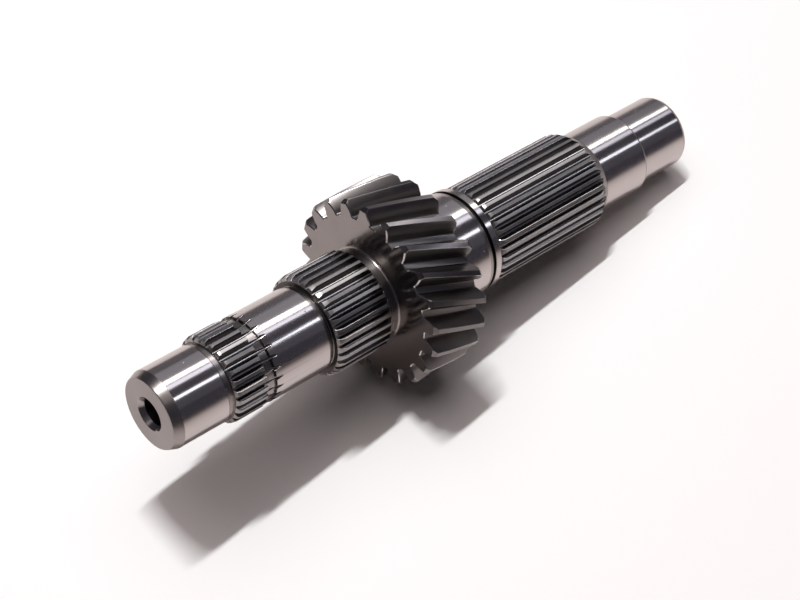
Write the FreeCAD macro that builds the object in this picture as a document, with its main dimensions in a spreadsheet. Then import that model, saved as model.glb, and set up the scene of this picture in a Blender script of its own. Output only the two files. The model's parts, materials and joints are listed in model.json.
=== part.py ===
import FreeCAD, Part
import math
import os
import Sketcher
from FreeCAD import Placement, Rotation, Vector

# A countershaft: one piece of steel, turned, hobbed and ground.
# It is drawn along its own axis with the near end at x = 0, and then laid down
# the way it rests: on two teeth of the gear and on the rim of its far end.

# Sizes in millimetres and degrees.
SIZES = {
    # near end, the hole in it and journal 1
    "near_face_radius": 11.35,
    "near_chamfer_length": 3.0,
    "hole_mouth_radius": 5.45,
    "hole_mouth_depth": 1.7,
    "hole_radius": 4.5,
    "hole_depth": 24.0,
    "hole_point_length": 2.6,
    "journal_one_radius": 12.5,
    "journal_one_length": 19.2,
    "edge_break": 0.25,
    # spline 1, the run-out of its hob and the snap ring groove
    "neck_one_radius": 12.2,
    "neck_one_length": 1.8,
    "spline_one_radius": 14.05,
    "spline_one_root_radius": 12.6,
    "spline_one_length": 11.0,
    "spline_one_teeth": 26,
    "spline_one_phase": 0.8,
    "spline_one_lead_length": 0.9,
    "spline_one_lead_height": 0.3,
    "hob_radius": 18.0,
    "hob_full_depth_length": 9.6,
    "hob_swing": 30.0,
    "snap_groove_radius": 13.2,
    "snap_groove_length": 3.1,
    # journal 2
    "journal_two_radius": 13.9,
    "journal_two_length": 20.6,
    # spline 2, between two necks
    "neck_two_radius": 13.45,
    "neck_two_length": 1.5,
    "spline_two_radius": 16.5,
    "spline_two_root_radius": 15.15,
    "spline_two_length": 21.0,
    "spline_two_teeth": 32,
    "spline_two_phase": 1.87,
    "spline_two_lead_length": 1.9,
    "spline_two_lead_height": 0.5,
    "spline_two_end_chamfer": 1.1,
    "neck_three_radius": 15.05,
    "neck_three_length": 3.5,
    # gear
    "gear_teeth": 21,
    "gear_module": 2.5,
    "gear_helix_angle": 20.0,
    "gear_pressure_angle": 20.0,
    "gear_profile_shift": 0.25,
    "gear_addendum": 3.16,
    "gear_dedendum": 2.04,
    "gear_root_bevel": 0.4,
    "gear_length": 21.7,
    "gear_tip_chamfer": 1.2,
    "gear_foot_bevel": 0.4,
    # journal 3, the groove and the collar behind it
    "journal_three_radius": 17.5,
    "journal_three_length": 15.9,
    "journal_three_relief_length": 1.5,
    "journal_three_relief_height": 0.2,
    "collar_groove_radius": 16.3,
    "collar_groove_length": 1.2,
    "collar_radius": 17.35,
    "collar_length": 2.3,
    # spline 3 and its long cone
    "neck_four_radius": 14.9,
    "neck_four_length": 1.5,
    "spline_three_radius": 16.5,
    "spline_three_root_radius": 15.15,
    "spline_three_length": 46.0,
    "spline_three_teeth": 32,
    "spline_three_phase": 4.57,
    "spline_three_lead_length": 1.1,
    "spline_three_lead_height": 0.4,
    "cone_length": 4.5,
    # the two far journals and the centre hole in the far face
    "journal_four_radius": 13.9,
    "journal_four_length": 19.5,
    "journal_five_radius": 12.45,
    "journal_five_length": 21.1,
    "far_chamfer": 0.8,
    "centre_mouth_radius": 3.2,
    "centre_cone_half_angle": 30.0,
    "centre_drill_radius": 1.25,
    "centre_drill_depth": 6.0,
    # shared by the splines, and how far every cutter reaches past the metal
    "spline_pressure_angle": 30.0,
    "spline_slope_length": 0.6,
    "cutter_overlap": 0.5,
}

# The lengths that follow one another along the axis.
RUN = ["journal_one", "neck_one", "spline_one", "snap_groove", "journal_two", "neck_two",
       "spline_two", "neck_three", "gear", "journal_three", "collar_groove", "collar",
       "neck_four", "spline_three", "cone", "journal_four", "journal_five"]

doc = FreeCAD.newDocument("countershaft")
sheet = doc.addObject("Spreadsheet::Sheet", "sizes")
for row, (alias, value) in enumerate(SIZES.items(), start=1):
    sheet.set("A%d" % row, alias)
    sheet.set("B%d" % row, str(value))
    sheet.setAlias("B%d" % row, alias)
doc.recompute()

body = doc.addObject("PartDesign::Body", "countershaft")
body.Label = "countershaft"
ORIGIN = {item.Role: item for item in body.Origin.OriginFeatures}


# Expressions of the sheet

def size(name):
    return "sizes." + name


def radius(section):
    return size(section + "_radius")


def length(section):
    return size(section + "_length")


def total(*terms):
    """Sum of several expressions."""
    return "({})".format(" + ".join(terms))


def less(first, *others):
    """The first expression with the others taken off."""
    return "({})".format(" - ".join((first,) + others))


def end_of(section):
    """Place along the axis where a section ends."""
    return total(*[length(name) for name in RUN[:RUN.index(section) + 1]])


def value_of(expression):
    result = sheet.evalExpression(expression)
    return float(getattr(result, "Value", result))


OVERLAP = size("cutter_overlap")
EDGE = size("edge_break")
FAR_END = end_of("journal_five")
GEAR_FRONT = end_of("neck_three")
GEAR_PITCH = "({} * {} / (2 * cos({})))".format(
    size("gear_module"), size("gear_teeth"), size("gear_helix_angle"))
GEAR_TIP = total(GEAR_PITCH, size("gear_addendum"))
GEAR_ROOT = less(GEAR_PITCH, size("gear_dedendum"))
GEAR_LEAD = "(2 * pi * {} / tan({}))".format(GEAR_PITCH, size("gear_helix_angle"))
GEAR_PRESSURE = "(atan(tan({}) / cos({})) / 1 deg)".format(
    size("gear_pressure_angle"), size("gear_helix_angle"))
GEAR_HALF_GAP = "(90 / {0} - 2 * {1} * tan({2}) / {0} * 180 / pi)".format(
    size("gear_teeth"), size("gear_profile_shift"), size("gear_pressure_angle"))
# The teeth touch the ground where their tips meet the far chamfer.
RESTING_POINT = less(end_of("gear"), size("gear_tip_chamfer"))


# Sketches

def new_sketch(name, role):
    sketch = body.newObject("Sketcher::SketchObject", name)
    sketch.AttachmentSupport = [(ORIGIN[role], "")]
    sketch.MapMode = "FlatFace"
    return sketch


def hold(sketch, constraint, name, expression):
    """Add a constraint whose value follows an expression."""
    index = sketch.addConstraint(constraint)
    sketch.renameConstraint(index, name)
    sketch.setExpression("Constraints." + name, expression)


def hold_coordinate(sketch, kind, geometry, end, name, expression):
    """Hold one coordinate of a line's end: on the axis, or at an expression."""
    place = value_of(expression)
    origin = (-1, 1)
    if abs(place) < 1e-9:
        axis = -2 if kind == "DistanceX" else -1
        sketch.addConstraint(Sketcher.Constraint("PointOnObject", geometry, end, axis))
    elif place > 0:
        hold(sketch, Sketcher.Constraint(kind, *origin, geometry, end, place), name, expression)
    else:
        hold(sketch, Sketcher.Constraint(kind, geometry, end, *origin, -place), name,
             "-" + expression)


def draw_outline(sketch, points):
    """Closed outline of straight lines through points given as pairs of expressions."""
    spots = [Vector(value_of(across), value_of(up), 0) for across, up in points]
    for start, end in zip(spots, spots[1:] + spots[:1]):
        sketch.addGeometry(Part.LineSegment(start, end))
    for i, (across, up) in enumerate(points):
        sketch.addConstraint(Sketcher.Constraint("Coincident", i, 2, (i + 1) % len(points), 1))
        hold_coordinate(sketch, "DistanceX", i, 1, "x_%d" % i, across)
        hold_coordinate(sketch, "DistanceY", i, 1, "y_%d" % i, up)


# Tooth gaps, drawn across the axis and centred on the upright

def involute(angle):
    """The involute of an angle, in degrees."""
    return "(tan({0}) * 180 / pi - ({0}))".format(angle)


def half_gap(at_radius, pitch, pressure, at_pitch):
    """Half the angle of a gap at a radius, from what it is at the pitch circle."""
    there = "(acos({} * cos({}) / ({})) / 1 deg)".format(pitch, pressure, at_radius)
    return less(total(at_pitch, involute(there)), involute(pressure))


def flank_point(at_radius, side, *form):
    """Point of a flank at a radius, to one side of the upright."""
    angle = half_gap(at_radius, *form)
    return ("({} * {} * sin({}))".format(side, at_radius, angle),
            "({} * cos({}))".format(at_radius, angle))


def place_across(sketch, station, turn):
    """Move a cross section to its place along the axis and turn it about the axis."""
    sketch.setExpression("AttachmentOffset.Base.z", station)
    sketch.setExpression("AttachmentOffset.Rotation.Angle", turn)


def spline_gap(name, station, top):
    """Gap of a spline: flat sides between the flanks' ends, and a flat floor."""
    teeth = size(name + "_teeth")
    pitch = "({0} * {1} / ({1} + 1))".format(radius(name), teeth)
    form = (pitch, size("spline_pressure_angle"), "90 / " + teeth)
    root = radius(name + "_root")
    sketch = new_sketch(name + "_gap", "YZ_Plane")
    draw_outline(sketch, [
        flank_point(root, -1, *form),
        flank_point(root, 1, *form),
        flank_point(top, 1, *form),
        flank_point(top, -1, *form),
    ])
    place_across(sketch, station, size(name + "_phase"))
    return sketch


def gear_gap(name, station):
    """Gap of the gear: flanks through foot, pitch and tip, bevelled into a flat floor."""
    form = (GEAR_PITCH, GEAR_PRESSURE, GEAR_HALF_GAP)
    bevel = size("gear_root_bevel")
    foot = "max({}; 1.002 * {} * cos({}))".format(
        total(GEAR_ROOT, bevel), GEAR_PITCH, GEAR_PRESSURE)
    top = total(GEAR_TIP, OVERLAP)
    left, right = flank_point(foot, -1, *form), flank_point(foot, 1, *form)
    sketch = new_sketch(name, "YZ_Plane")
    draw_outline(sketch, [
        (total(left[0], bevel), GEAR_ROOT),
        (less(right[0], bevel), GEAR_ROOT),
        right,
        flank_point(GEAR_PITCH, 1, *form),
        flank_point(top, 1, *form),
        flank_point(top, -1, *form),
        flank_point(GEAR_PITCH, -1, *form),
        left,
    ])
    turn = "180 - 360 * ({} - {}) / {}".format(RESTING_POINT, station, GEAR_LEAD)
    place_across(sketch, station, turn)
    return sketch


# Features

def add_feature(kind, name, **values):
    """Add a feature to the body, set it up and make it the body's last."""
    feature = body.newObject("PartDesign::" + kind, name)
    for prop, setting in values.items():
        setattr(feature, prop, setting)
    feature.Refine = False
    body.Tip = feature
    return feature


def turn_outline(kind, name, points):
    """Revolve an outline drawn beside the axis, as added metal or as a cut."""
    outline = new_sketch(name + "_outline", "XZ_Plane")
    draw_outline(outline, points)
    return add_feature(kind, name, Profile=outline, ReferenceAxis=(outline, ["H_Axis"]),
                       Angle=360)


def repeat(name, cuts, teeth):
    """Repeat the cuts of one gap around the shaft."""
    ring = add_feature("PolarPattern", name, Originals=cuts, Axis=(ORIGIN["X_Axis"], [""]),
                       Angle=360)
    ring.setExpression("Occurrences", teeth)
    doc.recompute()


def slot_back(name, gap, reach):
    """Cut a gap from its sketch towards the near end."""
    slot = add_feature("Pocket", name, Profile=gap, Type=0, Reversed=False)
    slot.setExpression("Length", reach)
    return slot


def spline_front(name, before):
    """Front end of a spline: a wall up to the roots, a steep slope, a slight lead-in."""
    lead_start = total(end_of(before), size("spline_slope_length"))
    return [
        (end_of(before), radius(name + "_root")),
        (lead_start, less(radius(name), size(name + "_lead_height"))),
        (total(lead_start, size(name + "_lead_length")), radius(name)),
    ]


# The turned blank, from the near end to the far end
turn_outline("Revolution", "turned_blank", [
    ("0", "0"),
    ("0", radius("near_face")),
    (size("near_chamfer_length"), radius("journal_one")),
    (less(end_of("journal_one"), EDGE), radius("journal_one")),
    (end_of("journal_one"), radius("neck_one")),
    (end_of("neck_one"), radius("neck_one")),
    *spline_front("spline_one", "neck_one"),
    (end_of("spline_one"), radius("spline_one")),
    (end_of("spline_one"), radius("snap_groove")),
    (end_of("snap_groove"), radius("snap_groove")),
    (end_of("snap_groove"), less(radius("journal_two"), EDGE)),
    (total(end_of("snap_groove"), EDGE), radius("journal_two")),
    (less(end_of("journal_two"), EDGE), radius("journal_two")),
    (end_of("journal_two"), radius("neck_two")),
    (end_of("neck_two"), radius("neck_two")),
    *spline_front("spline_two", "neck_two"),
    (less(end_of("spline_two"), size("spline_two_end_chamfer")), radius("spline_two")),
    (end_of("spline_two"), less(radius("spline_two"), size("spline_two_end_chamfer"))),
    (end_of("spline_two"), radius("neck_three")),
    (less(GEAR_FRONT, size("gear_foot_bevel")), radius("neck_three")),
    (GEAR_FRONT, total(radius("neck_three"), size("gear_foot_bevel"))),
    (GEAR_FRONT, less(GEAR_TIP, size("gear_tip_chamfer"))),
    (total(GEAR_FRONT, size("gear_tip_chamfer")), GEAR_TIP),
    (RESTING_POINT, GEAR_TIP),
    (end_of("gear"), less(GEAR_TIP, size("gear_tip_chamfer"))),
    (end_of("gear"), total(radius("journal_three"), size("gear_foot_bevel"))),
    (total(end_of("gear"), size("gear_foot_bevel")), radius("journal_three")),
    (less(end_of("journal_three"), size("journal_three_relief_length")),
     radius("journal_three")),
    (end_of("journal_three"),
     less(radius("journal_three"), size("journal_three_relief_height"))),
    (end_of("journal_three"), radius("collar_groove")),
    (end_of("collar_groove"), radius("collar_groove")),
    (end_of("collar_groove"), radius("collar")),
    (end_of("collar"), radius("collar")),
    (end_of("collar"), radius("neck_four")),
    (end_of("neck_four"), radius("neck_four")),
    *spline_front("spline_three", "neck_four"),
    (end_of("spline_three"), radius("spline_three")),
    (end_of("cone"), radius("journal_four")),
    (less(end_of("journal_four"), EDGE), radius("journal_four")),
    (end_of("journal_four"), less(radius("journal_four"), EDGE)),
    (end_of("journal_four"), radius("journal_five")),
    (less(FAR_END, size("far_chamfer")), radius("journal_five")),
    (FAR_END, less(radius("journal_five"), size("far_chamfer"))),
    (FAR_END, "0"),
])

# Spline 1: a straight gap, and behind it the round run-out that the hob leaves
hob_centre = total(radius("spline_one_root"), size("hob_radius"))
first_gap = spline_gap(
    "spline_one", total(end_of("neck_one"), size("hob_full_depth_length")),
    total("max({}; {})".format(radius("spline_one"), radius("journal_two")), OVERLAP))
hob_axis = first_gap.addGeometry(
    Part.LineSegment(Vector(-1, 1, 0), Vector(1, 1, 0)), True)
for line_end, half_length in ((1, "(-{})".format(OVERLAP)), (2, OVERLAP)):
    hold_coordinate(first_gap, "DistanceX", hob_axis, line_end, "hob_x_%d" % line_end,
                    half_length)
    hold_coordinate(first_gap, "DistanceY", hob_axis, line_end, "hob_y_%d" % line_end,
                    hob_centre)
first_slot = slot_back("spline_one_slot", first_gap,
                       total(size("hob_full_depth_length"), length("neck_one") + " / 2"))
run_out = add_feature("Groove", "spline_one_run_out", Profile=first_gap,
                      ReferenceAxis=(first_gap, ["Axis0"]), Reversed=True)
run_out.setExpression("Angle", size("hob_swing"))
repeat("spline_one", [first_slot, run_out], size("spline_one_teeth"))

# The gear: its gap is lofted through three sections turned along the helix
gap_start = less(GEAR_FRONT, OVERLAP)
gap_end = total(end_of("gear"), OVERLAP)
gap_middle = "(({} + {}) / 2)".format(gap_start, gap_end)
gear_slot = add_feature(
    "SubtractiveLoft", "gear_slot", Profile=gear_gap("gear_gap_start", gap_start), Ruled=True,
    Sections=[gear_gap("gear_gap_middle", gap_middle), gear_gap("gear_gap_end", gap_end)])
repeat("gear", [gear_slot], size("gear_teeth"))

# Splines 2 and 3: straight gaps from neck to neck
second_slot = slot_back(
    "spline_two_slot",
    spline_gap("spline_two", total(end_of("spline_two"), length("neck_three") + " / 2"),
               total(radius("spline_two"), OVERLAP)),
    total(length("neck_two") + " / 2", length("spline_two"), length("neck_three") + " / 2"))
repeat("spline_two", [second_slot], size("spline_two_teeth"))
third_slot = slot_back(
    "spline_three_slot",
    spline_gap("spline_three", end_of("cone"), total(radius("spline_three"), OVERLAP)),
    total(length("neck_four") + " / 2", length("spline_three"), length("cone")))
repeat("spline_three", [third_slot], size("spline_three_teeth"))

# The countersunk hole in the near face and the centre hole in the far one
hole_end = size("hole_depth")
turn_outline("Groove", "near_hole", [
    ("0", "0"),
    ("0", radius("hole_mouth")),
    (size("hole_mouth_depth"), radius("hole")),
    (hole_end, radius("hole")),
    (total(hole_end, length("hole_point")), "0"),
])
centre_cone = "(({} - {}) / tan({}))".format(
    radius("centre_mouth"), radius("centre_drill"), size("centre_cone_half_angle"))
drill_end = less(FAR_END, size("centre_drill_depth"))
turn_outline("Groove", "far_centre_hole", [
    (FAR_END, "0"),
    (FAR_END, radius("centre_mouth")),
    (less(FAR_END, centre_cone), radius("centre_drill")),
    (drill_end, radius("centre_drill")),
    (less(drill_end, radius("centre_drill")), "0"),
])
doc.recompute()

# At rest: a gap of the gear faces the ground, so the tips beside it touch, and the
# shaft slopes down to the far rim. The origin lies on the ground under the middle.
tip_angle = math.radians(value_of(half_gap(GEAR_TIP, GEAR_PITCH, GEAR_PRESSURE,
                                           GEAR_HALF_GAP)))
tip_place, tip_reach = value_of(RESTING_POINT), value_of(GEAR_TIP) * math.cos(tip_angle)
rim_place = value_of(less(FAR_END, size("far_chamfer")))
tilt = math.atan2(tip_reach - value_of(radius("journal_five")), rim_place - tip_place)
lift = tip_place * math.sin(tilt) + tip_reach * math.cos(tilt)
near_reach = -value_of(radius("near_face")) * math.sin(tilt)
far_rim = value_of(less(radius("journal_five"), size("far_chamfer")))
far_reach = value_of(FAR_END) * math.cos(tilt) + far_rim * math.sin(tilt)
body.Placement = Placement(Vector(-(near_reach + far_reach) / 2, 0, lift),
                           Rotation(Vector(0, 1, 0), math.degrees(tilt)))
doc.recompute()

failed = [item.Name for item in doc.Objects if {"Invalid", "Error"} & set(item.State)]
if failed:
    raise RuntimeError("not built: " + ", ".join(failed))
if body.Shape.isNull() or not body.Shape.isValid() or len(body.Shape.Solids) != 1:
    raise RuntimeError("the shaft is not one sound solid")

os.makedirs("parts", exist_ok=True)
body.Shape.exportStep(os.path.join("parts", body.Label + ".step"))
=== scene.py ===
import json
import math

import bmesh
import bpy
from mathutils import Matrix, Vector


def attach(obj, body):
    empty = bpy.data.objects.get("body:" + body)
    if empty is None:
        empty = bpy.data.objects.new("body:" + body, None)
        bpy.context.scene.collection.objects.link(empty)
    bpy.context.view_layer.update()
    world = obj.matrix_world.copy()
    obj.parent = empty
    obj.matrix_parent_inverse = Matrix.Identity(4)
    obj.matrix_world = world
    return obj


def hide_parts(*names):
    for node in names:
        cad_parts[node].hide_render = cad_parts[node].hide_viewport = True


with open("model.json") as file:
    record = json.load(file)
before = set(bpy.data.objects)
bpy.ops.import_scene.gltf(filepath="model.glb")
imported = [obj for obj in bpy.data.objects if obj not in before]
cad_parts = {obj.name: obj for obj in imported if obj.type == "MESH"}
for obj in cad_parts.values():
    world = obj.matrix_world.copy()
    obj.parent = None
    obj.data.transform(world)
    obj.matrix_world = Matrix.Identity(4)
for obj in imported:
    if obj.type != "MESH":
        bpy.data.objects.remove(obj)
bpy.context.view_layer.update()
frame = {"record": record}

# A countershaft of turned, hobbed and ground steel.
# Its surface is made here again with finer teeth than the solid has: true
# involutes, rounded roots, broken edges and the run-out that the hob leaves.

# Sizes of the shaft in millimetres and degrees, as in the solid
NEAR_FACE_RADIUS = 11.35
NEAR_CHAMFER = 3.0
HOLE_MOUTH_RADIUS, HOLE_MOUTH_DEPTH = 5.45, 1.7
HOLE_RADIUS, HOLE_DEPTH, HOLE_POINT = 4.5, 24.0, 2.6
FAR_CHAMFER = 0.8
CENTRE_MOUTH, CENTRE_DRILL, CENTRE_DEPTH = 3.2, 1.25, 6.0
CENTRE_HALF_ANGLE = 30.0
EDGE_BREAK = 0.25

# Radius and length of each section along the axis, from the near end
SECTIONS = {
    "journal_one": (12.5, 19.2),
    "neck_one": (12.2, 1.8),
    "spline_one": (14.05, 11.0),
    "snap_groove": (13.2, 3.1),
    "journal_two": (13.9, 20.6),
    "neck_two": (13.45, 1.5),
    "spline_two": (16.5, 21.0),
    "neck_three": (15.05, 3.5),
    "gear": (31.095, 21.7),
    "journal_three": (17.5, 15.9),
    "collar_groove": (16.3, 1.2),
    "collar": (17.35, 2.3),
    "neck_four": (14.9, 1.5),
    "spline_three": (16.5, 46.0),
    "cone": (13.9, 4.5),
    "journal_four": (13.9, 19.5),
    "journal_five": (12.45, 21.1),
}
RADIUS = {name: radius for name, (radius, length) in SECTIONS.items()}
START, END = {}, {}
reached = 0.0
for name, (radius, length) in SECTIONS.items():
    START[name] = reached
    reached += length
    END[name] = reached
FAR_END = reached

# Splines: radius at the roots, teeth, turn of the first gap, length and height of the
# lead-in, and how far from the spline's start the even steps along it begin
SPLINES = {
    "spline_one": (12.6, 26, 0.8, 0.9, 0.3, 8.5),
    "spline_two": (15.15, 32, 1.87, 1.9, 0.5, 3.0),
    "spline_three": (15.15, 32, 4.57, 1.1, 0.4, 2.0),
}
SPLINE_PRESSURE = 30.0
SLOPE_LENGTH = 0.6
END_CHAMFER = 1.1
HOB_RADIUS = 18.0
# Gear
GEAR_TEETH, GEAR_MODULE, HELIX, PRESSURE, SHIFT = 21, 2.5, 20.0, 20.0, 0.25
GEAR_DEDENDUM, TIP_CHAMFER, FOOT_BEVEL = 2.04, 1.2, 0.4
# Relief at the far end of journal 3
RELIEF_LENGTH, RELIEF_HEIGHT = 1.5, 0.2

# Finer forms, which the solid lacks or has a little different
HOB_FULL_DEPTH, RUN_OUT_REACH = 10.0, 2.6
CONE_LATE, CONE_SHORT = 0.3, 0.1
FOOT_FILLET, BURR_CHAMFER, FAR_ROUNDING = 0.7, 0.25, 0.8
SPLINE_FILLET, GEAR_FILLET = 0.18, 0.55
# Small broken edges, of teeth and grooves and of most other corners
TOOTH_EDGE, GEAR_EDGE, GROOVE_EDGE = 0.09, 0.12, 0.02
NICK, HAIR = 0.1, 0.03
# How far a tooth's flank is drawn beyond the blank's circle
SPLINE_BEYOND, GEAR_BEYOND = 0.6, 0.5
# A broken edge takes this share of a gap's depth at most
EDGE_SHARE = 0.4
# Rounding of the near face's rim: how far behind the face, and outward from its radius
NEAR_RIM = ((0.0, -0.25), (0.03, -0.1), (0.12, 0.02))
NEAR_ROUNDING = 0.15
MOUTH_ROUNDING = 0.08
# Rounding of the snap ring groove's far rim: how far behind its wall, and inward
GROOVE_RIM = ((0.0, EDGE_BREAK), (0.07, NICK), (EDGE_BREAK, 0.0))
# How far the relief's floor rises at its far end
RELIEF_RISE = 0.01
# Rounding of the far rim and of the gear's foot, in shares of their chamfers
FAR_RIM = ((1.7, 0.0), (1.5, 0.06), (0.3, 0.60), (0.0, 1.0))
FOOT_RIM = ((0.0, 1.0), (0.3, 0.4), (1.0, 0.025))
# Small dents in the ground journals
PITS_APART, PIT_RADIUS, PIT_DEPTH = 7.0, 0.28, 0.12

MM = 0.001
TINY = 1e-6
# Points around a plain ring, and rings along each stretch or quarter round
AROUND, AROUND_HOLE = 192, 72
RINGS = {
    "spline_one": 5,
    "snap_groove": 9,
    "run_out": 13,
    "spline_two": 3,
    "end_chamfer": 4,
    "foot_fillet": 6,
    "gear": 15,
    "gear_edge": 2,
    "spline_three": 5,
    "cone": 14,
    "far_rounding": 5,
}


# Where the shaft lies: two of the record's mounts are on its axis

def mount_place(name):
    for mount in frame["record"]["mounts"]:
        if mount["name"] == name:
            return Vector(mount["pos_m"])
    raise RuntimeError("no mount " + name)


NEAR_SEAT_MIDDLE = (NEAR_CHAMFER + END["journal_one"] - EDGE_BREAK) / 2
near_seat, far_seat = mount_place("near_bearing_seat"), mount_place("far_bearing_seat")
ALONG = (far_seat - near_seat).normalized()
ACROSS = Vector((0, 1, 0))
NEAR_END = near_seat - ALONG * NEAR_SEAT_MIDDLE * MM
TURN = Matrix((ALONG, ACROSS, ALONG.cross(ACROSS))).transposed()
SHAFT = Matrix.Translation(NEAR_END) @ TURN.to_4x4()


# The form of a tooth gap, across the axis

def involute(angle):
    return math.tan(angle) - angle


def half_gap(radius, pitch, pressure, at_pitch):
    """Half the angle of a gap at a radius, in radians."""
    there = math.acos(min(1.0, pitch * math.cos(pressure) / radius))
    return at_pitch + involute(there) - involute(pressure)


def blend(first, corner, last, count):
    """Points of a rounded corner, both ends included."""
    points = []
    for i in range(count + 1):
        t = i / count
        points.append(tuple((1 - t) ** 2 * a + 2 * t * (1 - t) * b + t * t * c
                            for a, b, c in zip(first, corner, last)))
    return points


def gap_form(form, root, top, fillet, flank_steps, wider=0.0):
    """Half a gap from the middle of its floor to its top, as (across, up) points."""
    root = root - wider
    probe, least_corner, least_floor = 0.1, 0.06, 0.05

    def flank(radius):
        angle = half_gap(radius + wider, *form) + wider / radius
        return (radius * math.sin(angle), radius * math.cos(angle))

    foot = flank(root + fillet)
    slope = (flank(root + fillet + probe)[0] - foot[0]) / probe
    corner = (max(foot[0] - slope * fillet, least_corner), root)
    inner = (max(corner[0] - fillet, least_floor), root)
    points = [(0.0, root)] + blend(inner, corner, foot, FILLET_STEPS)
    for i in range(1, flank_steps + 1):
        points.append(flank(root + fillet + (top - root - fillet) * i / flank_steps))
    return points


def cut_ring(blank, gap, teeth, first, flank_steps, land_steps, edge):
    """Outline of a toothed section: the blank's circle with gaps cut into it, as
    (angle, radius) pairs. The number of points doesn't depend on the depth."""
    polar = [(math.atan2(across, up), math.hypot(across, up)) for across, up in gap]
    floor = polar[0][1]
    corners = len(gap) - flank_steps - 1
    if floor >= blank - TINY:
        half = [(0.0, blank)] * (len(gap) + 1)
    else:
        rim = blank - min(edge, EDGE_SHARE * (blank - floor))
        low, high = 0, 1
        while polar[high][1] < rim and high < len(polar) - 1:
            low, high = high, high + 1
        share = (rim - polar[low][1]) / (polar[high][1] - polar[low][1])
        crossing = low + share
        half = []
        for i in range(len(gap)):
            spot = i if i <= corners else corners + (max(crossing, corners) - corners) * (
                (i - corners) / flank_steps)
            spot = min(spot, crossing)
            k = min(int(spot), len(polar) - 2)
            t = spot - k
            half.append(tuple(a + (b - a) * t for a, b in zip(polar[k], polar[k + 1])))
        half.append((half[-1][0] + (blank - rim) / blank, blank))
    pitch = 2 * math.pi / teeth
    land_start = half[-1][0]
    for i in range(1, land_steps + 1):
        half.append((land_start + (pitch / 2 - land_start) * i / land_steps, blank))
    whole = half + [(pitch - angle, radius) for angle, radius in reversed(half[1:-1])]
    return [(first + tooth * pitch + angle, radius)
            for tooth in range(teeth) for angle, radius in whole]


def ring_roles(gap_points, land_steps, teeth, floor_role, gap_role, edge_role, land_role):
    """The finish between each point of a toothed outline and the next."""
    half = [floor_role] + [gap_role] * (gap_points - 2) + [edge_role] + [land_role] * land_steps
    return (half + half[::-1]) * teeth


# Skin of the shaft: rings of points, each joined to the one before

class Skin:
    def __init__(self):
        self.points, self.faces, self.roles, self.last = [], [], [], None

    def ring(self, place, outline, roles):
        """Add a ring at a place along the axis and join it to the last one. The roles
        are one finish for all, or one for each point."""
        start = len(self.points)
        for angle, radius in outline:
            self.points.append((place * MM, -radius * math.sin(angle) * MM,
                                radius * math.cos(angle) * MM))
        new = [(start + i, outline[i][0]) for i in range(len(outline))]
        if self.last is not None and len(self.last) == len(new):
            count = len(new)
            for i in range(count):
                j = (i + 1) % count
                self.faces.append((self.last[i][0], new[i][0], new[j][0], self.last[j][0]))
                self.roles.append(roles if isinstance(roles, str) else roles[i])
        elif self.last is not None:
            self.join_uneven(self.last, new, roles)
        self.last = new

    def join_uneven(self, old, new, role):
        """Join two rings of different counts by triangles, in order of angle."""
        full = 2 * math.pi
        old, new = (sorted(((angle % full, index) for index, angle in ring), key=lambda p: p[0])
                    for ring in (old, new))
        i = j = 0
        while i < len(old) or j < len(new):
            old_next = old[(i + 1) % len(old)][0] + full * ((i + 1) // len(old))
            new_next = new[(j + 1) % len(new)][0] + full * ((j + 1) // len(new))
            a, b = old[i % len(old)][1], new[j % len(new)][1]
            if j >= len(new) or (i < len(old) and old_next <= new_next):
                self.faces.append((a, b, old[(i + 1) % len(old)][1]))
                i += 1
            else:
                self.faces.append((a, b, new[(j + 1) % len(new)][1]))
                j += 1
            self.roles.append(role)

    def turned(self, profile, count=AROUND):
        """Plain rings through (place, radius, finish) points."""
        for place, radius, role in profile:
            outline = [(2 * math.pi * i / count, radius) for i in range(count)]
            self.ring(place, outline, role)


def steps(start, end, count):
    """Places from start to end, without the start."""
    return [start + (end - start) * i / count for i in range(1, count + 1)]


def quarter_round(count):
    """Points of a quarter round of radius 1: how far before its end, and how far across."""
    turns = [math.pi / 2 * i / count for i in range(count + 1)]
    return [(1 - math.sin(turn), 1 - math.cos(turn)) for turn in turns]


def neck(name, drop, rise):
    """Profile of a neck with a small rounding at both ends."""
    return [(START[name], RADIUS[name] + drop, "turned"),
            (START[name] + NICK, RADIUS[name], "turned"),
            (END[name] - rise, RADIUS[name], "turned"),
            (END[name], RADIUS[name] + rise, "turned")]


skin = Skin()

# The hole in the near face, from its point outwards, then journal 1 and neck 1
skin.turned([
    # The hole's walls and point take the bore finish, darkened as painted shade
    (HOLE_DEPTH + HOLE_POINT, 0.0, "bore"),
    (HOLE_DEPTH, HOLE_RADIUS, "bore"),
    (HOLE_DEPTH - 3 * NICK, HOLE_RADIUS, "bore"),
    (HOLE_MOUTH_DEPTH + NICK, HOLE_RADIUS, "bore"),
    (HOLE_MOUTH_DEPTH, HOLE_RADIUS + HAIR, "bore"),
    (MOUTH_ROUNDING, HOLE_MOUTH_RADIUS - HAIR, "mouth"),
    (0.0, HOLE_MOUTH_RADIUS + MOUTH_ROUNDING, "mouth"),
], AROUND_HOLE)
chamfer_slope = (RADIUS["journal_one"] - NEAR_FACE_RADIUS) / NEAR_CHAMFER
skin.turned([(behind, NEAR_FACE_RADIUS + outward, "face" if outward < 0 else "chamfer")
             for behind, outward in NEAR_RIM])
skin.turned([(behind, NEAR_FACE_RADIUS + behind * chamfer_slope, "chamfer")
             for behind in (3 * NICK, NEAR_CHAMFER - NEAR_ROUNDING)])
skin.turned([
    (NEAR_CHAMFER + NEAR_ROUNDING, RADIUS["journal_one"], "chamfer"),
    (END["journal_one"] - EDGE_BREAK - NICK, RADIUS["journal_one"], "ground"),
    (END["journal_one"] - EDGE_BREAK, RADIUS["journal_one"] - HAIR, "turned"),
])
skin.turned(neck("neck_one", HAIR, NICK))

# A spline

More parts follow.
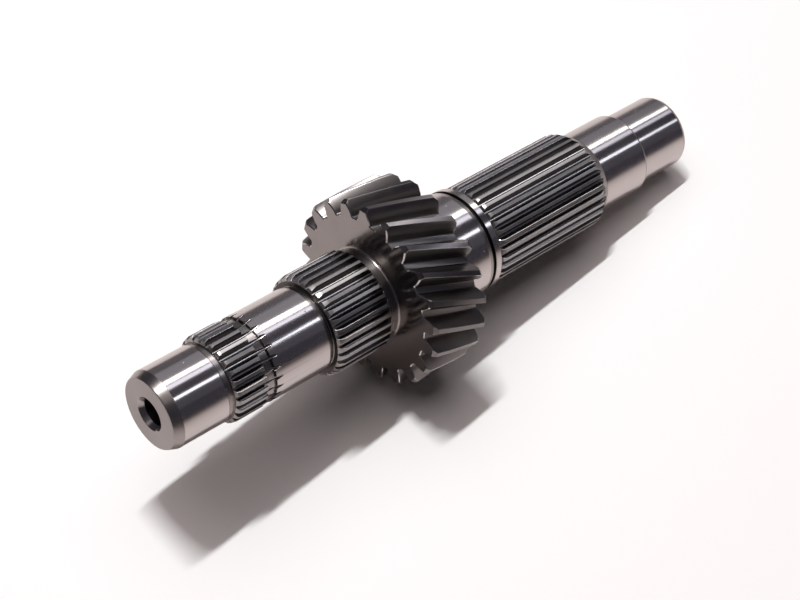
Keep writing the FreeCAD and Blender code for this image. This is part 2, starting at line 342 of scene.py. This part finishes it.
LAND_STEPS, FLANK_STEPS, FILLET_STEPS, LEAD_STEPS = 2, 3, 3, 5


class Spline:
    # Where the steep slope in front has its rings, as shares of its length
    SLOPE_RINGS = (0.08, 0.3, 0.65, 0.92)
    # The rounding between the slope and the lead-in: down, along and up
    CORNER = (0.06, 0.05, 0.02)

    def __init__(self, name):
        self.name = name
        self.root, self.teeth, phase, self.lead_length, self.lead_height, even = SPLINES[name]
        self.phase = math.radians(phase)
        self.even_from = START[name] + even
        pitch = RADIUS[name] * self.teeth / (self.teeth + 1)
        form = (pitch, math.radians(SPLINE_PRESSURE), math.pi / 2 / self.teeth)
        self.gap = gap_form(form, self.root, RADIUS[name] + SPLINE_BEYOND, SPLINE_FILLET,
                            FLANK_STEPS)
        self.roles = self.with_lands("edge", "land")
        self.bare_roles = self.with_lands("ground", "ground")
        self.groove_roles = self.with_lands("turned", "turned")
        # Edges and lands of the snap ring groove's far wall take the groove finish, darkened as
        # painted shade
        self.wall_roles = self.with_lands("groove", "groove")

    def with_lands(self, edge_role, land_role):
        # The flanks of a spline's gaps take the gap finish, darkened as painted shade between the
        # teeth
        return ring_roles(len(self.gap), LAND_STEPS, self.teeth, "floor", "gap", edge_role,
                          land_role)

    def ring(self, place, blank, roles=None, lift_from=None, edge=TOOTH_EDGE):
        """A ring whose gap is lifted along the hob's circle behind lift_from."""
        gap = self.gap
        if lift_from is not None and place > lift_from:
            centre, beyond = self.root + HOB_RADIUS, place - lift_from
            gap = [(across, centre - math.sqrt(max((centre - up) ** 2 - beyond ** 2, 0.0)))
                   for across, up in gap]
        skin.ring(place, cut_ring(blank, gap, self.teeth, self.phase, FLANK_STEPS,
                                  LAND_STEPS, edge), roles or self.roles)

    def front(self):
        """The wall up to the roots, the steep slope and the lead-in."""
        wall, radius = START[self.name], RADIUS[self.name]
        down, along, up = self.CORNER
        # The wall in front of the teeth takes the groove finish, darkened as painted shade
        skin.ring(wall, cut_ring(self.root, self.gap, self.teeth, self.phase, FLANK_STEPS,
                                 LAND_STEPS, TOOTH_EDGE), "groove")
        shoulder = radius - self.lead_height
        for share in self.SLOPE_RINGS:
            self.ring(wall + SLOPE_LENGTH * share, self.root + (shoulder - self.root) * share)
        rounded = blend((SLOPE_LENGTH, shoulder - down), (SLOPE_LENGTH + along, shoulder + up),
                        (SLOPE_LENGTH + self.lead_length, radius), LEAD_STEPS)
        for beyond, blank in rounded:
            self.ring(wall + beyond, blank)


# Spline 1, its run-out through the snap ring groove, and journal 2
spline = Spline("spline_one")
spline.front()
full_depth = START["spline_one"] + HOB_FULL_DEPTH
for place in steps(spline.even_from, END["spline_one"] - NICK, RINGS["spline_one"]):
    spline.ring(place, RADIUS["spline_one"], lift_from=full_depth)
spline.ring(END["spline_one"], RADIUS["spline_one"] - NICK, None, full_depth)
spline.ring(END["spline_one"], RADIUS["snap_groove"], spline.groove_roles, full_depth,
            GROOVE_EDGE)
for place in steps(END["spline_one"], END["snap_groove"], RINGS["snap_groove"]):
    spline.ring(place, RADIUS["snap_groove"], spline.groove_roles, full_depth, GROOVE_EDGE)
# The far wall of the snap ring groove: groove finish, with painted shade
for behind, inward in GROOVE_RIM:
    spline.ring(END["snap_groove"] + behind, RADIUS["journal_two"] - inward,
                spline.wall_roles, full_depth, GROOVE_EDGE)
for place in steps(END["snap_groove"] + EDGE_BREAK, END["snap_groove"] + RUN_OUT_REACH,
                   RINGS["run_out"]):
    spline.ring(place, RADIUS["journal_two"], spline.bare_roles, full_depth, GROOVE_EDGE)
spline.ring(END["journal_two"] - EDGE_BREAK - NICK, RADIUS["journal_two"],
            spline.bare_roles, full_depth)
spline.ring(END["journal_two"] - EDGE_BREAK, RADIUS["journal_two"] - HAIR,
            spline.groove_roles, full_depth)
skin.turned(neck("neck_two", HAIR, 1.5 * NICK))

# Spline 2 and neck 3
spline = Spline("spline_two")
spline.front()
chamfer_start = END["spline_two"] - END_CHAMFER
for place in steps(spline.even_from, chamfer_start, RINGS["spline_two"]):
    spline.ring(place, RADIUS["spline_two"])
for place in steps(chamfer_start, END["spline_two"], RINGS["end_chamfer"]):
    spline.ring(place, RADIUS["spline_two"] - (place - chamfer_start))
skin.turned([
    (END["spline_two"], RADIUS["neck_three"], "turned"),
    (START["gear"] - FOOT_FILLET, RADIUS["neck_three"], "turned"),
])
skin.turned([(START["gear"] - FOOT_FILLET * along, RADIUS["neck_three"] + FOOT_FILLET * across,
              "turned") for along, across in quarter_round(RINGS["foot_fillet"])[1:]])

# The gear: the same outline at every place along it, turned along the helix
GEAR_FLANKS, GEAR_LANDS = 7, 3
gear_pitch = GEAR_MODULE * GEAR_TEETH / 2 / math.cos(math.radians(HELIX))
gear_root = gear_pitch - GEAR_DEDENDUM
transverse = math.atan(math.tan(math.radians(PRESSURE)) / math.cos(math.radians(HELIX)))
gear_form = (gear_pitch, transverse, math.pi / 2 / GEAR_TEETH
             - 2 * SHIFT * math.tan(math.radians(PRESSURE)) / GEAR_TEETH)
turn_per_mm = math.tan(math.radians(HELIX)) / gear_pitch
resting_point = END["gear"] - TIP_CHAMFER
gear_gap_points = GEAR_FLANKS + FILLET_STEPS + 2
# The gear's gaps, floors and flanks, take the flank finish, darkened as painted shade
gear_roles = ring_roles(gear_gap_points, GEAR_LANDS, GEAR_TEETH, "flank", "flank", "edge", "tip")
bevel_roles = ring_roles(gear_gap_points, GEAR_LANDS, GEAR_TEETH, "edge", "edge", "edge", "tip")


def gear_ring(place, roles):
    from_face = min(place - START["gear"], END["gear"] - place)
    blank = RADIUS["gear"] - max(0.0, TIP_CHAMFER - from_face)
    wider = max(0.0, BURR_CHAMFER - from_face)
    gap = gap_form(gear_form, gear_root, RADIUS["gear"] + GEAR_BEYOND, GEAR_FILLET, GEAR_FLANKS,
                   wider)
    first = math.pi + (place - resting_point) * turn_per_mm
    skin.ring(place, cut_ring(blank, gap, GEAR_TEETH, first, GEAR_FLANKS, GEAR_LANDS, GEAR_EDGE),
              roles)


gear_ring(START["gear"], "gear_face")
bevel_end = START["gear"] + BURR_CHAMFER
for place in steps(START["gear"], bevel_end, RINGS["gear_edge"]):
    gear_ring(place, bevel_roles)
gear_places = steps(bevel_end, START["gear"] + TIP_CHAMFER, RINGS["gear_edge"])
gear_places += steps(START["gear"] + TIP_CHAMFER, resting_point, RINGS["gear"])
gear_places += steps(resting_point, END["gear"] - BURR_CHAMFER, RINGS["gear_edge"])
gear_places += steps(END["gear"] - BURR_CHAMFER, END["gear"], RINGS["gear_edge"])
for place in gear_places:
    gear_ring(place, gear_roles)

# Journal 3, the ring groove, the collar and neck 4
skin.turned([(END["gear"] + FOOT_BEVEL * behind, RADIUS["journal_three"] + FOOT_BEVEL * outward,
              "turned" if behind else "gear_face") for behind, outward in FOOT_RIM])
relief_start = END["journal_three"] - RELIEF_LENGTH
skin.turned([
    (END["gear"] + FOOT_BEVEL + NICK, RADIUS["journal_three"], "ground"),
    (relief_start - 2 * NICK, RADIUS["journal_three"], "ground"),
    (relief_start + 2 * NICK, RADIUS["journal_three"] - HAIR, "ground"),
    (END["journal_three"] - NICK, RADIUS["journal_three"] - RELIEF_HEIGHT + RELIEF_RISE, "turned"),
    (END["journal_three"], RADIUS["journal_three"] - RELIEF_HEIGHT - NICK, "turned"),
    # The ring groove beside the collar: groove finish, with painted shade
    (END["journal_three"] + GROOVE_EDGE, RADIUS["collar_groove"] + NICK, "groove"),
    (END["journal_three"] + GROOVE_EDGE + NICK, RADIUS["collar_groove"], "groove"),
    (END["collar_groove"] - GROOVE_EDGE - NICK, RADIUS["collar_groove"], "groove"),
    (END["collar_groove"] - GROOVE_EDGE, RADIUS["collar_groove"] + NICK, "groove"),
    (END["collar_groove"], RADIUS["collar"] - NICK, "groove"),
    (END["collar_groove"] + NICK, RADIUS["collar"], "turned"),
    (END["collar"] - NICK, RADIUS["collar"], "ground"),
    (END["collar"], RADIUS["collar"] - NICK, "turned"),
])
skin.turned(neck("neck_four", NICK, 0.5 * NICK))

# Spline 3 and the cone that its gaps run out in
spline = Spline("spline_three")
spline.front()
for place in steps(spline.even_from, END["spline_three"] - 1.5 * NICK, RINGS["spline_three"]):
    spline.ring(place, RADIUS["spline_three"])
cone_start, cone_end = START["cone"] + CONE_LATE, END["cone"] - CONE_SHORT
cone_slope = (RADIUS["spline_three"] - RADIUS["cone"]) / (cone_end - cone_start)
spline.ring(cone_start, RADIUS["spline_three"])
for place in steps(cone_start, cone_end, RINGS["cone"]):
    spline.ring(place, RADIUS["spline_three"] - (place - cone_start) * cone_slope)
spline.ring(END["cone"] + NICK, RADIUS["journal_four"], spline.groove_roles)
spline.ring(END["cone"] + 3 * NICK, RADIUS["journal_four"], spline.bare_roles)

# The two far journals, the far face and its centre hole
skin.turned([(END["cone"] + 4 * NICK, RADIUS["journal_four"], "ground")])
skin.turned([(END["journal_four"] - FAR_ROUNDING * along,
              RADIUS["journal_four"] - FAR_ROUNDING * across,
              "chamfer" if across else "ground")
             for along, across in quarter_round(RINGS["far_rounding"])])
skin.turned([
    (END["journal_four"], RADIUS["journal_five"] + NICK, "turned"),
    (END["journal_four"] + NICK, RADIUS["journal_five"], "turned"),
])
skin.turned([(FAR_END - FAR_CHAMFER * behind, RADIUS["journal_five"] - FAR_CHAMFER * inward,
              "chamfer" if inward else "ground") for behind, inward in FAR_RIM])
cone_depth = (CENTRE_MOUTH - CENTRE_DRILL) / math.tan(math.radians(CENTRE_HALF_ANGLE))
skin.turned([
    (FAR_END, CENTRE_MOUTH + 0.5 * NICK, "face"),
    (FAR_END - NICK, CENTRE_MOUTH - 2 * HAIR, "turned"),
    (FAR_END - cone_depth, CENTRE_DRILL, "turned"),
    # The centre hole's drilled part takes the bore finish, darkened as painted shade
    (FAR_END - CENTRE_DEPTH, CENTRE_DRILL, "bore"),
    (FAR_END - CENTRE_DEPTH - CENTRE_DRILL, 0.0, "bore"),
], AROUND_HOLE)


# Materials of the steel, by how each surface was finished, with painted shade in the darker
# colours of grooves, gaps, gear flanks and holes

class Nodes:
    """A short way to write a material's nodes."""

    def __init__(self, name):
        self.material = bpy.data.materials.new(name)
        self.material.use_nodes = True
        self.tree = self.material.node_tree
        self.tree.nodes.clear()
        self.output = self.add("ShaderNodeOutputMaterial")

    def add(self, kind, **values):
        node = self.tree.nodes.new(kind)
        for key, value in values.items():
            setattr(node, key, value)
        return node

    def link(self, start, end):
        self.tree.links.new(start, end)

    def noise(self, vector, scale, detail):
        node = self.add("ShaderNodeTexNoise")
        node.inputs["Scale"].default_value = scale
        node.inputs["Detail"].default_value = detail
        self.link(vector, node.inputs["Vector"])
        return node.outputs["Fac"]

    def span(self, value, low, high, new_low, new_high):
        node = self.add("ShaderNodeMapRange")
        for key, number in (("From Min", low), ("From Max", high), ("To Min", new_low),
                            ("To Max", new_high)):
            node.inputs[key].default_value = number
        self.link(value, node.inputs["Value"])
        return node.outputs["Result"]

    def in_shaft_frame(self):
        """Coordinates with X along the shaft's own axis."""
        node = self.add("ShaderNodeMapping")
        back = SHAFT.inverted()
        node.inputs["Location"].default_value = back.translation
        node.inputs["Rotation"].default_value = back.to_euler()
        self.link(self.add("ShaderNodeTexCoord").outputs["Object"], node.inputs["Vector"])
        return node.outputs["Vector"]

    def stretched(self, vector, along, across, shift=0.0):
        node = self.add("ShaderNodeMapping")
        node.inputs["Scale"].default_value = (along, across, across)
        node.inputs["Location"].default_value = (0, shift, 0)
        self.link(vector, node.inputs["Vector"])
        return node.outputs["Vector"]

    def length(self, vector):
        node = self.add("ShaderNodeVectorMath", operation="LENGTH")
        self.link(vector, node.inputs[0])
        return node.outputs["Value"]

    def from_axis(self, place):
        """The place with its X replaced by its distance from the axis."""
        parts = self.add("ShaderNodeSeparateXYZ")
        self.link(place, parts.inputs["Vector"])
        joined = self.add("ShaderNodeCombineXYZ")
        self.link(self.length(self.stretched(place, 0.0, 1.0)), joined.inputs["X"])
        for side in "YZ":
            self.link(parts.outputs[side], joined.inputs[side])
        return joined.outputs["Vector"]

    def ramp(self, value, dark, light):
        node = self.add("ShaderNodeValToRGB")
        node.color_ramp.elements[0].color = (*dark, 1)
        node.color_ramp.elements[1].color = (*light, 1)
        self.link(value, node.inputs["Fac"])
        return node.outputs["Color"]

    def multiply_add(self, value, factor, addend):
        node = self.add("ShaderNodeMath", operation="MULTIPLY_ADD")
        node.inputs[1].default_value = factor
        self.link(value, node.inputs[0])
        self.link(addend, node.inputs[2])
        return node.outputs["Value"]

    def bump(self, height, distance):
        node = self.add("ShaderNodeBump")
        node.inputs["Distance"].default_value = distance
        self.link(height, node.inputs["Height"])
        return node

    def finish(self, shader):
        self.link(shader.outputs["BSDF"], self.output.inputs["Surface"])
        return self.material


# Noise a millimetre: tool marks across their direction, clouds along the axis and
# across it, and grain
MARKS_ACROSS, CLOUD_ALONG, CLOUD_ACROSS, GRAIN = 0.012, 0.09, 0.14, 2.5
# How much the marks add to the roughness and the grain to the bump, and how far the
# roughness strays from its middle
MARKS_SHARE, GRAIN_SHARE = 0.5, 0.25
SMOOTHEST, ROUGHEST = 0.85, 1.2
# Range of the clouds' noise, what it adds to the roughness, and the range of the sum
CLOUD_RANGE, CLOUD_SHARE, SUM_RANGE = (0.3, 0.7), (0.1, 0.4), (0.2, 0.8)
QUARTER_TURN = 0.25


def steel(name, dark, light, rough, brushed, marks, mark_height, facing, pitted):
    """Bare steel. Marks is the number of tool marks a millimetre, which run around
    the axis; on a face they are circles. A pitted one has a few small dents."""
    made = Nodes("steel_" + name)
    place = made.in_shaft_frame()
    lines_from = made.from_axis(place) if facing else place
    lines = made.noise(made.stretched(lines_from, marks / MM, MARKS_ACROSS / MM), 1.0, 2.0)
    cloud = made.noise(made.stretched(place, CLOUD_ALONG / MM, CLOUD_ACROSS / MM), 1.0, 4.0)
    grain = made.noise(place, GRAIN / MM, 2.0)
    shader = made.add("ShaderNodeBsdfPrincipled")
    shader.inputs["Metallic"].default_value = 1.0
    shader.inputs["Anisotropic"].default_value = brushed
    shader.inputs["Anisotropic Rotation"].default_value = QUARTER_TURN
    tangent = made.add("ShaderNodeTangent", direction_type="UV_MAP", uv_map="around")
    made.link(tangent.outputs["Tangent"], shader.inputs["Tangent"])
    made.link(made.ramp(cloud, dark, light), shader.inputs["Base Color"])
    clouded = made.span(cloud, *CLOUD_RANGE, *CLOUD_SHARE)
    spread = made.multiply_add(lines, MARKS_SHARE, clouded)
    made.link(made.span(spread, *SUM_RANGE, rough * SMOOTHEST, rough * ROUGHEST),
              shader.inputs["Roughness"])
    bump = made.bump(made.multiply_add(grain, GRAIN_SHARE, lines), mark_height * MM)
    if pitted:
        pits = made.add("ShaderNodeTexVoronoi")
        pits.inputs["Scale"].default_value = 1 / (PITS_APART * MM)
        made.link(place, pits.inputs["Vector"])
        hollow = made.span(pits.outputs["Distance"], 0.0, PIT_RADIUS / PITS_APART, -1.0, 0.0)
        made.link(made.bump(hollow, PIT_DEPTH * MM).outputs["Normal"], bump.inputs["Normal"])
    made.link(bump.outputs["Normal"], shader.inputs["Normal"])
    return made.finish(shader)


# Darker and lighter colour, roughness, how far it is brushed, tool marks a millimetre
# and their height
STEELS = {
    "ground": ((0.50, 0.46, 0.45), (0.58, 0.535, 0.52), 0.185, 0.8, 3.0, 0.0006),
    "turned": ((0.27, 0.245, 0.235), (0.37, 0.335, 0.32), 0.26, 0.6, 5.0, 0.0015),
    "chamfer": ((0.31, 0.28, 0.27), (0.39, 0.355, 0.34), 0.32, 0.5, 5.0, 0.0020),
    # The groove colours are painted shade: near black where walls and grooves lie in shade
    "groove": ((0.04, 0.036, 0.034), (0.09, 0.08, 0.076), 0.34, 0.4, 5.0, 0.0015),
    "face": ((0.27, 0.247, 0.237), (0.33, 0.302, 0.292), 0.32, 0.5, 4.0, 0.0015),
    "gear_face": ((0.22, 0.20, 0.19), (0.28, 0.255, 0.245), 0.19, 0.3, 4.0, 0.0010),
    "land": ((0.30, 0.28, 0.272), (0.41, 0.385, 0.372), 0.36, 0.2, 2.0, 0.0020),
    "floor": ((0.40, 0.385, 0.38), (0.50, 0.48, 0.475), 0.18, 0.0, 1.2, 0.0006),
    # The gap colours are painted shade between the spline's teeth; the floor colour is the steel's
    # own
    "gap": ((0.08, 0.073, 0.071), (0.145, 0.133, 0.13), 0.17, 0.0, 1.2, 0.0006),
    "edge": ((0.50, 0.48, 0.47), (0.62, 0.60, 0.59), 0.20, 0.0, 1.0, 0.0006),
    # The flank colours are painted shade between the gear's teeth
    "flank": ((0.13, 0.119, 0.116), (0.20, 0.185, 0.18), 0.32, 0.0, 0.8, 0.0002),
    "tip": ((0.16, 0.147, 0.145), (0.24, 0.221, 0.218), 0.29, 0.3, 4.0, 0.0004),
    "mouth": ((0.36, 0.33, 0.32), (0.46, 0.42, 0.41), 0.20, 0.6, 3.0, 0.0015),
    # The bore colours are painted shade inside the holes
    "bore": ((0.12, 0.10, 0.10), (0.20, 0.17, 0.16), 0.35, 0.5, 2.0, 0.0020),
}
FACING, PITTED = ("face", "gear_face"), ("ground",)
FINISHES = {name: steel(name, *values, name in FACING, name in PITTED)
            for name, values in STEELS.items()}

# The mesh: points closer than WELD and edges shorter than SLIVER are merged
WELD, SLIVER = 0.002, 0.001
SHARP_ANGLE, NORMAL_WEIGHT = 28, 60
TILES_PER_METRE = 10


def unroll(mesh):
    """UV map whose first direction runs around the axis, for the tool marks."""
    layer = mesh.uv_layers.new(name="around")
    for polygon in mesh.polygons:
        middle = polygon.center
        facing = math.atan2(-middle.y, middle.z)
        for loop in polygon.loop_indices:
            spot = mesh.vertices[mesh.loops[loop].vertex_index].co
            size = math.hypot(spot.y, spot.z)
            angle = math.atan2(-spot.y, spot.z) if size > TINY else facing
            turns = round((facing - angle) / (2 * math.pi))
            layer.data[loop].uv = (angle / (2 * math.pi) + turns,
                                   (spot.x + size / 2) * TILES_PER_METRE)


def make_shaft():
    mesh = bpy.data.meshes.new("countershaft_skin")
    mesh.from_pydata(skin.points, [], skin.faces)
    order = list(FINISHES)
    for role in order:
        mesh.materials.append(FINISHES[role])
    mesh.polygons.foreach_set("material_index", [order.index(role) for role in skin.roles])
    mesh.polygons.foreach_set("use_smooth", [True] * len(mesh.polygons))
    mesh.validate()
    work = bmesh.new()
    work.from_mesh(mesh)
    bmesh.ops.remove_doubles(work, verts=work.verts, dist=WELD * MM)
    bmesh.ops.dissolve_degenerate(work, edges=work.edges, dist=SLIVER * MM)
    bmesh.ops.recalc_face_normals(work, faces=work.faces)
    work.to_mesh(mesh)
    work.free()
    mesh.set_sharp_from_angle(angle=math.radians(SHARP_ANGLE))
    unroll(mesh)
    mesh.transform(SHAFT)
    shaft = bpy.data.objects.new("countershaft_skin", mesh)
    bpy.context.scene.collection.objects.link(shaft)
    normals = shaft.modifiers.new("even_normals", "WEIGHTED_NORMAL")
    normals.keep_sharp = True
    normals.weight = NORMAL_WEIGHT
    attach(shaft, "root")
    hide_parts("countershaft")


make_shaft()


# Floor: paper, which the steel sees darker away from the shaft through painted shade

FLOOR_HALF = 3.0
# The far colour is painted shade: the paper darkens away from the shaft for every ray but the
# camera's
WHITE, PALE, FAR_PAINTED_SHADE = (1.0, 1.0, 1.0), (0.90, 0.86, 0.85), (0.16, 0.14, 0.135)
# The middle of the pale part lies behind the shaft, and it is longer than wide
FADE_BEHIND, FADE_ALONG = 0.12, 0.4
FADE_START, FADE_END = FADE_BEHIND + 0.05, FADE_BEHIND + 0.36


def make_floor():
    """White paper to the camera. The steel sees it pale near the shaft and, as painted shade,
    darker farther off, with a dark room around it.
    """
    mesh = bpy.data.meshes.new("floor")
    mesh.from_pydata([(x * FLOOR_HALF, y * FLOOR_HALF, 0)
                      for x, y in ((-1, -1), (1, -1), (1, 1), (-1, 1))], [], [(0, 1, 2, 3)])
    floor = bpy.data.objects.new("floor", mesh)
    bpy.context.scene.collection.objects.link(floor)
    paper = Nodes("floor_white")
    place = paper.add("ShaderNodeTexCoord").outputs["Object"]
    away = paper.length(paper.stretched(place, FADE_ALONG, 1.0, -FADE_BEHIND))
    # Painted shade: the paper's colour fades to dark away from the shaft, except for the camera
    seen_with_painted_shade = paper.ramp(paper.span(away, FADE_START, FADE_END, 0.0, 1.0), PALE, FAR_PAINTED_SHADE)
    shown = paper.add("ShaderNodeMix", data_type="RGBA")
    paper.link(seen_with_painted_shade, shown.inputs["A"])
    shown.inputs["B"].default_value = (*WHITE, 1)
    paper.link(paper.add("ShaderNodeLightPath").outputs["Is Camera Ray"], shown.inputs["Factor"])
    shader = paper.add("ShaderNodeBsdfPrincipled")
    paper.link(shown.outputs["Result"], shader.inputs["Base Color"])
    shader.inputs["Roughness"].default_value = 1.0
    shader.inputs["Specular IOR Level"].default_value = 0.0
    mesh.materials.append(paper.finish(shader))


make_floor()


# Light: two lamps above the near end, and a room that only the steel sees

MIDDLE = FAR_END * MM / 2
BEYOND_NEAR, FARTHER, BEYOND_FAR = MIDDLE - 0.23, MIDDLE - 0.35, MIDDLE + 0.85
WARM = (1.0, 0.88, 0.87)
# Name, degrees about the axis from the top, distance, middle along the axis, length,
# width, colour, power, and whether the lamp lights the floor and is seen in the steel
LAMPS = (
    ("key", -14, 1.6, BEYOND_NEAR, 0.37, 0.05, WHITE, 18.5, True, True),
    ("fill", -14, 1.5, BEYOND_NEAR, 1.7, 1.7, WARM, 12.5, True, False),
    ("ceiling", 0, 1.5, FARTHER, 1.0, 1.6, (1.0, 0.92, 0.89), 2.6, False, True),
    ("window_top", -20.6, 1.5, BEYOND_FAR, 1.3, 0.27, WHITE, 4.5, False, True),
    ("window_left", -5, 1.5, BEYOND_FAR, 1.3, 0.275, (0.84, 0.87, 1.0), 2.1, False, True),
    ("window_right", 28.5, 1.5, BEYOND_FAR, 1.3, 0.17, (0.84, 0.89, 1.0), 2.3, False, True),
    ("wall_right", 46, 1.5, BEYOND_FAR, 1.4, 0.62, (0.90, 0.88, 1.0), 0.13, False, True),
    ("wall_left", -43.5, 1.6, BEYOND_FAR, 1.4, 0.95, (0.94, 0.95, 1.0), 1.35, False, True),
    ("wall_low", -76, 1.6, BEYOND_FAR, 1.4, 0.95, (1.0, 0.94, 0.94), 0.42, False, True),
)


def make_lamp(name, turn, reach, middle, length, width, colour, power, lights, seen):
    light = bpy.data.lights.new(name, "AREA")
    light.shape = "RECTANGLE"
    light.size, light.size_y = length, width
    light.color, light.energy = colour, power
    lamp = bpy.data.objects.new(name, light)
    bpy.context.scene.collection.objects.link(lamp)
    angle = math.radians(turn)
    out = Vector((0, -math.sin(angle), math.cos(angle)))
    along = Vector((1, 0, 0))
    axes = Matrix((along, out.cross(along), out)).transposed().to_4x4()
    place = Vector((middle, 0, 0)) + out * reach
    lamp.matrix_world = SHAFT @ Matrix.Translation(place) @ axes
    lamp.visible_camera = False
    lamp.visible_diffuse = lights
    lamp.visible_glossy = seen


for lamp_values in LAMPS:
    make_lamp(*lamp_values)


# The room that the steel sees, and the light that falls in from all sides
ROOM, AMBIENT = (0.055, 0.053, 0.070), 0.02


def make_world():
    """A dark room around the steel. The camera sees white beyond the floor."""
    world = bpy.data.worlds.new("room")
    bpy.context.scene.world = world
    world.use_nodes = True
    tree = world.node_tree
    tree.nodes.clear()
    output = tree.nodes.new("ShaderNodeOutputWorld")
    rays = tree.nodes.new("ShaderNodeLightPath")

    def background(colour, strength):
        node = tree.nodes.new("ShaderNodeBackground")
        node.inputs["Color"].default_value = (*colour, 1)
        node.inputs["Strength"].default_value = strength
        return node.outputs["Background"]

    def mix(factor, first, second):
        node = tree.nodes.new("ShaderNodeMixShader")
        tree.links.new(factor, node.inputs["Fac"])
        tree.links.new(first, node.inputs[1])
        tree.links.new(second, node.inputs[2])
        return node.outputs["Shader"]

    shown = mix(rays.outputs["Is Glossy Ray"], background(WARM, AMBIENT), background(ROOM, 1.0))
    shown = mix(rays.outputs["Is Camera Ray"], shown, background(WHITE, 1.0))
    tree.links.new(shown, output.inputs["Surface"])


make_world()


# Camera: where the photograph was taken from

# It looks at a point on the floor
CAMERA_TARGET, CAMERA_DISTANCE = (-0.002323, 0.009032, 0.0), 0.623798
# Degrees: heading, tilt below the horizon and roll
CAMERA_HEADING, CAMERA_DOWN, CAMERA_ROLL = 45.8637, 54.2326, 3.6354
CAMERA_SENSOR, CAMERA_LENS = 36.0, 86.378


def make_camera():
    data = bpy.data.cameras.new("camera")
    data.sensor_width = CAMERA_SENSOR
    data.lens = CAMERA_LENS
    camera = bpy.data.objects.new("camera", data)
    bpy.context.scene.collection.objects.link(camera)
    camera.matrix_world = (Matrix.Translation(CAMERA_TARGET)
                           @ Matrix.Rotation(math.radians(CAMERA_HEADING - 90), 4, "Z")
                           @ Matrix.Rotation(math.radians(90 - CAMERA_DOWN), 4, "X")
                           @ Matrix.Rotation(math.radians(CAMERA_ROLL), 4, "Z")
                           @ Matrix.Translation((0, 0, CAMERA_DISTANCE)))
    bpy.context.scene.camera = camera


make_camera()
bpy.context.scene.view_settings.view_transform = "Standard"
bpy.context.view_layer.update()
